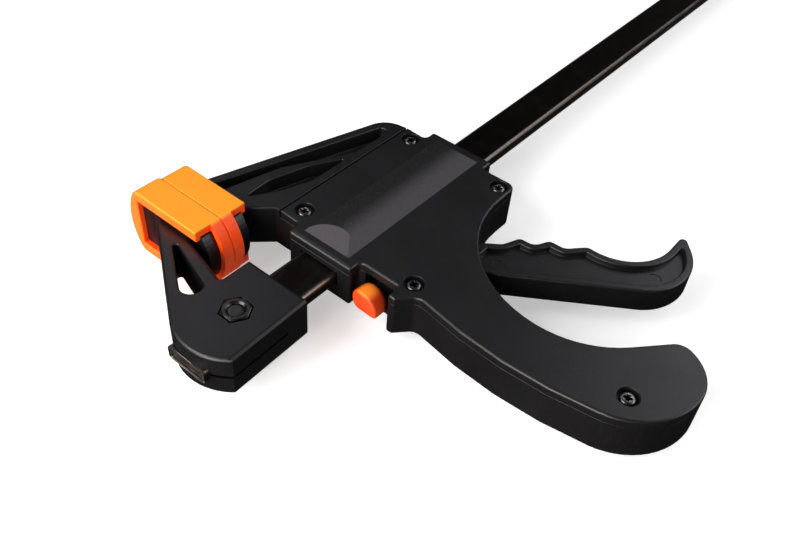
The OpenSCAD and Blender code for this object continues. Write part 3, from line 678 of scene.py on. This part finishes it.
class CLAMP_OT_housing(bpy.types.Operator):
    """Housing with arm, bar box and grip, and its edges rounded"""
    bl_idname = "clamp.housing"
    bl_label = "Housing"

    def execute(self, context):
        rim, pocket_rim, seam_rim = look().rim / MM, 0.6, 0.15

        def radius(p, rise, inner):
            if rise > 0:
                in_pocket = p.y > SEAM_Y + 2 and abs(p.z) < 3
                return pocket_rim if in_pocket else 0.0
            if abs(p.z) > BODY_Z - NEAR:
                if p.z > 0 and abs(p.y - SEAM_Y) < 2 * NEAR:
                    return seam_rim
                return pocket_rim if inner else rim
            outside = rise < -BODY_Z - COVER_Z + 2 * NEAR
            return parting(p) if outside and abs(p.z - COVER_Z) < NEAR else 0.0

        piece = moulding("housing", "housing_shell", radius)
        dress(piece, "moving_jaw", "housing_plastic",
              moulded_nylon("housing_nylon", look().nylon), "housing_shell")
        return {"FINISHED"}


class CLAMP_OT_cover(bpy.types.Operator):
    """Cover plate with counterbored holes, and the label's film with its painted reflection"""
    bl_idname = "clamp.cover"
    bl_label = "Cover"

    def execute(self, context):
        rim, front_rim, seam_rim, bore_rim = look().rim / MM, look().front_rim / MM, 0.15, 0.2

        def radius(p, rise, inner):
            on_top = p.z > BODY_Z - NEAR
            if inner:
                bored = min(math.dist(p.xy, spot) for spot in SCREWS) < 4.2
                return bore_rim if on_top and bored else 0.0
            if on_top:
                if p.x < 17 and p.y > -12:
                    return front_rim
                return seam_rim if p.y > SEAM_Y - 1 else rim
            return parting(p) if p.z < COVER_Z + NEAR else 0.0

        piece = moulding("cover", "cover_plate", radius)
        dress(piece, "moving_jaw", "housing_plastic",
              moulded_nylon("cover_nylon", look().nylon), "cover_plate")
        # The label's film pales towards negative Y with a painted reflection
        repaint("label_plate", film_with_painted_reflection("label_film", hex_rgb("#0e0d0f"), hex_rgb("#403e42"),
                                           hex_rgb("#534e52")))
        return {"FINISHED"}


class CLAMP_OT_fixed_jaw(bpy.types.Operator):
    """Fixed jaw with window, slit and nut pocket"""
    bl_idname = "clamp.fixed_jaw"
    bl_label = "Fixed jaw"

    def execute(self, context):
        rim, nut_pocket_rim, window_rim = look().jaw_rim / MM, 0.3, 0.7

        def radius(p, rise, inner):
            if rise > 0 or abs(p.z) < JAW_Z - NEAR:
                return 0.0
            if inner:
                return nut_pocket_rim if abs(p.y) < 8 else window_rim
            return rim

        piece = moulding("jaw_block", "fixed_jaw", radius)
        dress(piece, "bar", "jaw_plastic", moulded_nylon("jaw_nylon", look().nylon), "fixed_jaw")
        # Painted shade: the slit's walls are painted near black, for the little light that gets
        # into it
        piece.data.materials.append(moulded_nylon("slit_nylon", hex_rgb("#020202")))
        for face in piece.data.polygons:
            if all(abs(piece.data.vertices[i].co.z) < (SLIT_Z + NEAR) * MM for i in face.vertices):
                face.material_index = 1
        return {"FINISHED"}


class CLAMP_OT_pads(bpy.types.Operator):
    """Both rubber pads"""
    bl_idname = "clamp.pads"
    bl_label = "Pads"

    def execute(self, context):
        edge = look().pad_edge / MM
        depth = span("moving_pad")[1].x
        # The pads' tops get their lit colour, and their sides a redder painted shade
        rubber = orange_rubber("pad_rubber", look().pad_colour, hex_rgb("#fd480a"),
                               (13.9, 14.7), -depth)

        def radius(p, rise, inner):
            return edge if abs(p.z) < NEAR or abs(p.z) > depth - NEAR else 0.0

        for node, body in (("fixed_pad", "bar"), ("moving_pad", "moving_jaw")):
            piece = moulding(node + "_cap", node, radius, along_x=True)
            dress(piece, body, "pad_rubber", rubber, node)
        return {"FINISHED"}


class CLAMP_OT_trigger(bpy.types.Operator):
    """Trigger with recessed panels"""
    bl_idname = "clamp.trigger"
    bl_label = "Trigger"

    def execute(self, context):
        top = span("trigger")[1].z
        rim, panel_rim, panel_foot = 0.9, 0.5, 0.15

        def radius(p, rise, inner):
            if rise > 0:
                return panel_foot
            if abs(p.z) < top - NEAR:
                return 0.0
            return panel_rim if inner else rim

        piece = moulding("trigger_lever", "trigger", radius)
        dress(piece, "trigger", "trigger_plastic",
              moulded_nylon("trigger_nylon", look().nylon), "trigger")
        return {"FINISHED"}


class CLAMP_OT_button(bpy.types.Operator):
    """Release button with a crowned front and soft edges"""
    bl_idname = "clamp.button"
    bl_label = "Release button"

    def execute(self, context):
        edge = look().button_edge / MM
        corners = [(-5.8, -5.3, 1.5), (5.8, -5.3, 3.2), (5.8, 4.5, 4.6), (-5.8, 4.5, 6.2)]
        # Each ring has its inset, its distance behind the front and its share of the outline
        front = [(edge, 0.0, share) for share in (0.0, 0.25, 0.5, 0.75)]
        rounding = [(edge * (1 - math.sin(t)), edge * (1 - math.cos(t)), 1.0)
                    for t in (math.pi / 2 * i / 6 for i in range(7))]
        taper = [(0.0, 3.0, 1.0), (0.0, 5.0, 0.985), (0.0, 6.3, 0.94), (0.0, 7.1, 0.86),
                 (0.0, 7.6, 0.74)]
        stem_share, stem_end = 0.55, 15.9
        stem = [(0.0, CAP_LENGTH, stem_share), (0.0, stem_end, stem_share),
                (0.4, stem_end, stem_share), (0.4, stem_end, 0.0)]
        crown_r, crown_ends = 24, 11
        bm = bmesh.new()
        last = None
        for inset, run, share in front + rounding + taper + stem:
            ring = []
            for point in rounded_outline(corners, inset):
                y, z = point * share
                crown = crown_r - math.sqrt(crown_r ** 2 - y * y - z * z)
                x = BUTTON_FRONT_X + run + crown * max(0.0, 1 - run / crown_ends)
                ring.append(bm.verts.new(Vector((x, BUTTON_Y + y, z)) * MM))
            last = skin(bm, last, ring) if last else ring
        lean = (Matrix.Translation(LEAN_PIVOT * MM) @ Matrix.Rotation(-LEAN, 4, "Z")
                @ Matrix.Translation(-LEAN_PIVOT * MM))
        bmesh.ops.transform(bm, matrix=lean, verts=bm.verts)
        piece = finished("button", bm)
        # The button's top gets its lit colour, and its front a redder painted shade
        dress(piece, "release", "button_plastic",
              orange_rubber("button_plastic", look().button_colour, hex_rgb("#c4350c"),
                            (3.1, 4.4)), "release_button")
        # The stem behind the orange cap is black
        piece.data.materials.append(moulded_nylon("stem_nylon", look().nylon))
        upright = lean.inverted()
        for face in piece.data.polygons:
            if (upright @ face.center).x / MM > BUTTON_FRONT_X + CAP_LENGTH:
                face.material_index = 1
        return {"FINISHED"}


class CLAMP_OT_bar(bpy.types.Operator):
    """Bar with its rough sheared end"""
    bl_idname = "clamp.bar"
    bl_label = "Bar"

    def execute(self, context):
        bm = whole_copy("bar")
        ring = self.opened(bm)
        spots = [v.co.yz / MM for v in ring]
        for vert, spot in zip(ring, spots):
            vert.co.x = (self.heel_x(spot.x) + 0.3) * MM
        self.close_face(bm, self.grow_lip(bm, ring, spots), spots)
        piece = finished("bar_strip", bm)
        # The bar's oxide gets a painted highlight along its long edges, and wear at its sheared end
        dress(piece, "bar", "bar_steel",
              black_oxide_steel("bar_oxide", look().bar_colour, hex_rgb("#77706a"),
                                run=(0.08, 1, 1), edge_highlight_and_end_wear=True), "bar")
        return {"FINISHED"}

    def opened(self, bm, step=0.7):
        """Takes the front face off, and gives back its border with a vertex every step mm."""
        ends = [f for f in bm.faces
                if f.normal.x < -0.99 and f.calc_center_median().x < (BAR_START_X + 0.1) * MM]
        bmesh.ops.delete(bm, geom=ends, context="FACES")
        for edge in [e for e in bm.edges if e.is_boundary]:
            cuts = round(edge.calc_length() / (step * MM)) - 1
            if cuts > 0:
                bmesh.ops.subdivide_edges(bm, edges=[edge], cuts=cuts)
        border = [e for e in bm.edges if e.is_boundary]
        ring = [border[0].verts[0]]
        left = set(border)
        while left:
            edge = next(e for e in ring[-1].link_edges if e in left)
            left.discard(edge)
            ring.append(edge.other_vert(ring[-1]))
        ring.pop()
        return ring

    def heel_x(self, y):
        """Where the jaw's round back cuts the bar at height y."""
        return BOLT.x - math.sqrt(HEEL_R ** 2 - y * y)

    def grow_lip(self, bm, last, spots):
        """The end that stands out of the jaw, swollen by the shears, most at a lower corner."""
        for share, growth in ((0.05, 0.0), (0.3, 0.55), (0.6, 1.0), (0.85, 0.85), (1.0, 0.35)):
            row = []
            for spot in spots:
                y, z = spot
                out = Vector((max(abs(y) - BAR_HALF_Y + 1.6, 0) * (1 if y > 0 else -1), z * 0.6))
                uneven = 0.5 + 0.5 * roughly.noise(Vector((y * 0.5, z * 0.5, share)))
                bulge = 0.3 + 0.3 * (y < -6) * (z > 0)
                y, z = spot + out.normalized() * growth * bulge * uneven
                x = self.heel_x(spot.x) * (1 - share) + BAR_START_X * share
                row.append(bm.verts.new(Vector((x, y, z)) * MM))
            last = skin(bm, last, row)
        return last

    def close_face(self, bm, last, spots):
        """The sheared face, with grooves along it."""
        for inset in (0.35, 0.7, 1.05, 1.4, 1.75, 2.1, 2.45, 2.75, BAR_HALF_Z):
            row = []
            for y, z in spots:
                y = max(min(y, BAR_HALF_Y - inset), inset - BAR_HALF_Y)
                z = max(min(z, BAR_HALF_Z - inset), inset - BAR_HALF_Z)
                rough = roughly.noise(Vector((y * 0.22, z * 1.6, 4.0)))
                groove = 0.5 + 0.5 * math.cos(2.9 * z + 0.6 * rough + 0.05 * y)
                x = BAR_START_X + 0.02 + 0.5 * groove + 0.15 * abs(rough)
                row.append(bm.verts.new(Vector((x, y, z)) * MM))
            last = skin(bm, last, row)


class CLAMP_OT_bolt(bpy.types.Operator):
    """Bolt and nut of the fixed jaw"""
    bl_idname = "clamp.bolt"
    bl_label = "Bolt and nut"

    def execute(self, context):
        black = black_oxide_steel("nut_oxide", hex_rgb("#403f3f"), hex_rgb("#6b6969"), 0.3)
        for piece, slot, node in ((self.nut(), "nut_steel", "jaw_nut"),
                                  (self.bolt(), "bolt_steel", "jaw_bolt")):
            piece.data.transform(Matrix.Translation(Vector((BOLT.x, BOLT.y, 0)) * MM))
            dress(piece, "bar", slot, black, node)
        return {"FINISHED"}

    def nut(self):
        """A hexagon nut with its upper corners chamfered and its bore countersunk."""
        low, high = (corner.z for corner in span("jaw_nut"))
        face_r, flat_r, corner_r = 4.72, 5.0, 5.78
        slope = math.tan(math.radians(30))

        def hexed(turn, r, z):
            if r < face_r:
                return r, z
            share = (r - face_r) / (corner_r - face_r)
            at = face_r + (hex_reach(turn, flat_r) - face_r) * share
            return at, z + (r - at) * slope * (z > low + 1)

        chamfer = [(r, high - (r - face_r) * slope) for r in (face_r, 4.85, 5.1, 5.4, corner_r)]
        bore = [(3.0, high - 0.66), (3.1, high - 0.56), (3.7, high - 0.06), (3.84, high)]
        bm = bmesh.new()
        first = turned(bm, [(3.0, low)], 72)
        last = turned(bm, bore + chamfer + [(corner_r, low + 0.02)], 72, hexed, first)
        skin(bm, last, first)
        return finished("nut", bm)

    def bolt(self):
        """A threaded bolt, its head below and a hexagon socket in it."""
        low, high = (corner.z for corner in span("jaw_bolt"))
        socket_r, head_r, head_h, shank_r = 2.5, 5.5, 4.0, 3.0
        thread_r, thread_z, pitch, step = 2.96, 2.5, 1.0, 0.125

        def threaded(turn, r, z):
            if r == socket_r:
                return hex_reach(turn, r), z
            if r != thread_r or z < thread_z:
                return r, z
            phase = (z / pitch - turn / (2 * math.pi)) % 1.0
            return r - 0.5 * max(0.0, 1 - abs(phase - 0.5) * 2.6), z

        socket = [(0, low + 3.0), (socket_r, low + 2.4), (socket_r, low + 0.25), (2.95, low)]
        head = [(4.9, low), (5.2, low + 0.09), (5.42, low + 0.3), (head_r, low + 0.6),
                (head_r, low + head_h - 0.3), (5.35, low + head_h - 0.05), (5.1, low + head_h)]
        shank = [(shank_r, low + head_h), (shank_r, thread_z - 0.2)]
        steps = round((high - 0.4 - thread_z) / step)
        thread = [(thread_r, thread_z + step * i) for i in range(steps)]
        end = [(thread_r, high - 0.4), (2.86, high - 0.12), (2.66, high), (1.6, high - 0.02),
               (0, high - 0.04)]
        bm = bmesh.new()
        turned(bm, socket + head + shank + thread + end, 72, threaded)
        return finished("bolt", bm)


class CLAMP_OT_screws(bpy.types.Operator):
    """Cover screws: one screw, set at each counterbore by a node tree"""
    bl_idname = "clamp.screws"
    bl_label = "Cover screws"

    def execute(self, context):
        screw = self.one_screw()
        bm = bmesh.new()
        angle = bm.verts.layers.float.new("angle")
        for i, spot in enumerate(SCREWS):
            bm.verts.new(Vector((*spot, SCREW_SEAT_Z)) * MM)[angle] = 0.4 + 0.75 * i
        piece = new_piece("cover_screws", bm)
        plated = bright_steel("screw_plating", hex_rgb("#6e6c6c"), 0.28)
        tree, given, result = node_group("screws_on_points", Screw="Object", Finish="Material")
        shape = add(tree, "GeometryNodeObjectInfo", {"Object": given["Screw"]})
        kept = add(tree, "GeometryNodeInputNamedAttribute", {"Name": "angle"}, data_type="FLOAT")
        turn = add(tree, "ShaderNodeCombineXYZ", {"Z": kept.outputs["Attribute"]})
        set_down = add(tree, "GeometryNodeInstanceOnPoints", {
            "Points": given["Geometry"], "Instance": shape.outputs["Geometry"],
            "Rotation": turn.outputs["Vector"]})
        real = add(tree, "GeometryNodeRealizeInstances", {"Geometry": set_down.outputs[0]})
        dyed = add(tree, "GeometryNodeSetMaterial", {
            "Geometry": real.outputs[0], "Material": given["Finish"]})
        tree.links.new(dyed.outputs[0], result["Geometry"])
        grown(piece, tree, Screw=screw, Finish=plated)
        bpy.data.objects.remove(screw)
        dress(lay_normals(piece, 38, 0.5), "moving_jaw", "screw_steel", plated,
              *(f"cover_screw_{i + 1}" for i in range(5)))
        # Painted shade: the walls and the bottom of the cross recess are painted near black
        piece.data.materials.append(
            black_oxide_steel("screw_recess", hex_rgb("#0c0b0c"), hex_rgb("#1c1b1b"), 0.5))
        for face in piece.data.polygons:
            at = face.center / MM
            if (0.2 < at.z - SCREW_SEAT_Z < HEAD_H - 0.08
                    and min(math.dist(at.xy, spot) for spot in SCREWS) < 1.6):
                face.material_index = 1
        return {"FINISHED"}

    def one_screw(self):
        """A pan head screw with a cross recess, its seat at Z 0."""
        thread_r, pitch, step = 1.5, 1.2, 0.2

        def cross(length, half, inner, depth):
            ring = []
            for arm in range(4):
                turn = Matrix.Rotation(math.pi / 2 * arm, 2)
                for x, y in ((length, -half), (length, half), (inner, inner)):
                    at = Vector((*(turn @ Vector((x, y))), HEAD_H - depth))
                    ring.append(bm.verts.new(at * MM))
            return ring

        def threaded(turn, r, z):
            if r != thread_r or not -10 < z < -0.3:
                return r, z
            phase = (z / pitch + turn / (2 * math.pi)) % 1.0
            return r - 0.36 * min(1.0, abs(phase - 0.5) * 4), z

        bm = bmesh.new()
        point = [(0, -11), (0.25, -10.8), (0.9, -10.2)]
        thread = [(thread_r, -9.9 + step * i) for i in range(48)] + [(thread_r, -0.2)]
        head = [(1.6, 0), (2.75, 0), (2.88, 0.1), (2.9, 0.5), (2.88, 0.9), (2.74, 1.3),
                (2.5, 1.6), (2.2, 1.79), (1.95, 1.88), (1.8, HEAD_H)]
        top = turned(bm, point + thread + head, 32, threaded)
        rim = cross(1.62, 0.62, 0.74, 0.0)
        close_cap(bm, [top, rim], 1)
        last = skin(bm, rim, cross(1.5, 0.5, 0.62, 0.14))
        last = skin(bm, last, cross(0.95, 0.34, 0.42, 0.85))
        last = skin(bm, last, cross(0.5, 0.2, 0.25, 1.35))
        bm.faces.new(last)
        return finished("screw", bm, 38, 0.5)


class CLAMP_OT_springs(bpy.types.Operator):
    """Coil springs, wound by a node tree"""
    bl_idname = "clamp.springs"
    bl_label = "Springs"

    def execute(self, context):
        tree, given, result = node_group("coil", Turns="Float", Reach="Float", Length="Float",
                                         Wire="Float", Finish="Material")
        coil = add(tree, "GeometryNodeCurveSpiral", {
            "Resolution": 28, "Rotations": given["Turns"], "Start Radius": given["Reach"],
            "End Radius": given["Reach"], "Height": given["Length"]})
        wire = add(tree, "GeometryNodeCurvePrimitiveCircle", {
            "Resolution": 12, "Radius": given["Wire"]})
        swept = add(tree, "GeometryNodeCurveToMesh", {
            "Curve": coil.outputs[0], "Profile Curve": wire.outputs[0], "Fill Caps": True})
        real = add(tree, "GeometryNodeRealizeInstances", {"Geometry": swept.outputs[0]})
        dyed = add(tree, "GeometryNodeSetMaterial", {
            "Geometry": real.outputs[0], "Material": given["Finish"]})
        tree.links.new(dyed.outputs[0], result["Geometry"])
        steel = bright_steel("spring_wire", hex_rgb("#9c9b99"), 0.28, 0.4)
        wire_r = look().wire / MM / 2
        for node, turns, keep, joint in (("drive_spring", 7.5, 0.784, "drive_push"),
                                         ("brake_spring", 4.5, 0.83, "release_press")):
            low, high = span(node)
            # A hair's gap at both ends, where the coil sits on a plate and on a wall
            low.x, high.x = low.x + 0.1, high.x - 0.05
            piece = new_piece(node + "_coil", bmesh.new())
            grown(piece, tree, Turns=turns, Reach=((high.z - low.z) / 2 - wire_r) * MM,
                  Length=(high.x - low.x - 2 * wire_r) * MM, Wire=wire_r * MM, Finish=steel)
            piece.data.transform(Matrix.Translation(Vector((low.x + wire_r, SPRING_Y, 0)) * MM)
                                 @ Matrix.Rotation(math.pi / 2, 4, "Y"))
            dress(lay_normals(piece, 60, 50.0), "moving_jaw", "spring_steel", steel, node)
            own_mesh(piece)
        return {"FINISHED"}


class CLAMP_OT_plates(bpy.types.Operator):
    """Drive plates, brake plate and pins"""
    bl_idname = "clamp.plates"
    bl_label = "Plates and pins"

    def execute(self, context):
        ground = bright_steel("ground_steel", hex_rgb("#8f9092"), 0.25)
        for node in ("drive_plate_front", "drive_plate_rear"):
            piece = moulding(node + "_leaf", node, lambda p, rise, inner: 0.2, True, 2)
            dress(piece, "drive", "plate_steel", ground, node)
        repaint("brake_plate", ground)
        for node, body in (("trigger_pin", "moving_jaw"), ("stop_pin", "bar")):
            low, high = span(node)
            r = (high.x - low.x) / 2
            end = [(0, 0.25), (r - 0.9, 0.25), (r - 0.6, 0.0), (r - 0.35, 0.02),
                   (r - 0.08, 0.3), (r, 0.7)]
            bm = bmesh.new()
            turned(bm, [(at, low.z + z) for at, z in end]
                   + [(at, high.z - z) for at, z in reversed(end)])
            piece = finished(node + "_turned", bm)
            piece.data.transform(Matrix.Translation(Vector((*middle(node).xy, 0)) * MM))
            dress(piece, body, "pin_steel", ground, node)
        return {"FINISHED"}


class CLAMP_OT_stage(bpy.types.Operator):
    """Floor, soft lights and camera"""
    bl_idname = "clamp.stage"
    bl_label = "Stage"

    def execute(self, context):
        self.lay_floor()
        self.hang_sky(context.scene)
        self.hang_lights(context.scene)
        self.set_camera(context.scene)
        return {"FINISHED"}

    def lay_floor(self):
        """White paper that glows a little and isn't mirrored in glossy faces."""
        low = min(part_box(n)[0][2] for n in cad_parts)
        bm = bmesh.new()
        bmesh.ops.create_grid(bm, x_segments=1, y_segments=1, size=6)
        bmesh.ops.translate(bm, verts=bm.verts, vec=(0.1, 0, low - 0.0002))
        floor = new_piece("floor", bm)
        paper, tree, shader, coords = new_material("floor_paper", **{
            "Roughness": 0.9, "Emission Color": (1, 1, 1, 1), "Emission Strength": 0.45})
        tint = [c * 0.985 for c in look().floor_colour]
        base = add(tree, "ShaderNodeMix", {
            0: mottling(tree, coords, 900.0), 6: tint, 7: look().floor_colour},
            data_type="RGBA")
        feed(tree, shader, {"Base Color": base.outputs[2]})
        floor.data.materials.append(paper)
        floor.visible_glossy = False

    def hang_sky(self, scene):
        """A sky that lights the clamp little, and is pale only where the camera sees it."""
        world = bpy.data.worlds.new("studio")
        world.use_nodes = True
        tree = world.node_tree
        tree.nodes.clear()
        direction = add(tree, "ShaderNodeTexCoord").outputs["Generated"]
        height = add(tree, "ShaderNodeSeparateXYZ", (direction,)).outputs["Z"]
        grey = add(tree, "ShaderNodeMapRange", (height, 0.0, 0.9, 0.01, 0.08)).outputs[0]
        seen = add(tree, "ShaderNodeLightPath").outputs["Is Camera Ray"]
        sky = add(tree, "ShaderNodeMath", (grey, seen), operation="MAXIMUM").outputs[0]
        back = add(tree, "ShaderNodeBackground", {"Color": (1, 1, 1), "Strength": sky})
        add(tree, "ShaderNodeOutputWorld", {"Surface": back.outputs["Background"]})
        scene.world = world

    def hang_lights(self, scene):
        """Five square lamps that face one spot near the middle of the view."""
        target = Vector((0.04, -0.02, 0))
        warm, plain, cool = (1, 0.95, 0.9), (1, 1, 1), (0.96, 0.95, 1)
        for name, spot, size, power, tint in (
                ("left", (-0.7, 0.35, 0.55), 0.6, 9.0, plain),
                ("front", (-0.9, -0.15, 0.2), 0.6, 13.0, warm),
                ("right", (0.5, -0.65, 0.4), 0.5, 3.0, plain),
                ("back_right", (0.75, -0.15, 0.6), 0.4, 1.6, cool),
                ("back_left", (0.25, 0.62, 0.72), 0.4, 0.7, cool)):
            data = bpy.data.lights.new(name, "AREA")
            data.size, data.energy, data.color = size, power, tint
            light = bpy.data.objects.new(name, data)
            light.location = spot
            light.rotation_euler = (target - Vector(spot)).to_track_quat("-Z", "Y").to_euler()
            scene.collection.objects.link(light)

    def set_camera(self, scene):
        """The camera, in front of the clamp and above it, on the grip's side."""
        data = bpy.data.cameras.new("camera")
        data.sensor_width, data.lens = 36, 38.72
        data.clip_start = 0.01
        camera = bpy.data.objects.new("camera", data)
        camera.location = (-0.1505, -0.1588, 0.22425)
        camera.rotation_euler = [math.radians(turn) for turn in (45.9914, -3.7167, -50.3781)]
        scene.collection.objects.link(camera)
        scene.camera = camera
        scene.view_settings.view_transform = "Standard"


OPERATORS = (CLAMP_OT_housing, CLAMP_OT_cover, CLAMP_OT_fixed_jaw, CLAMP_OT_pads,
             CLAMP_OT_trigger, CLAMP_OT_button, CLAMP_OT_bar, CLAMP_OT_bolt, CLAMP_OT_screws,
             CLAMP_OT_springs, CLAMP_OT_plates, CLAMP_OT_stage)


class CLAMP_PT_sidebar(bpy.types.Panel):
    """The clamp's settings and pieces"""
    bl_idname = "CLAMP_PT_sidebar"
    bl_label = "Bar clamp"
    bl_space_type = "VIEW_3D"
    bl_region_type = "UI"
    bl_category = "Clamp"

    def draw(self, context):
        for key in ClampLook.__annotations__:
            self.layout.prop(context.scene.clamp_look, key)
        for operator in OPERATORS:
            self.layout.operator(operator.bl_idname)


CLASSES = (ClampLook, *OPERATORS, CLAMP_PT_sidebar)


def register():
    for cls in CLASSES:
        bpy.utils.register_class(cls)
    bpy.types.Scene.clamp_look = PointerProperty(type=ClampLook)


def unregister():
    del bpy.types.Scene.clamp_look
    for cls in reversed(CLASSES):
        bpy.utils.unregister_class(cls)


def main():
    register()
    for operator in OPERATORS:
        getattr(bpy.ops.clamp, operator.bl_idname.split(".")[1])()


if __name__ == "__main__":
    main()
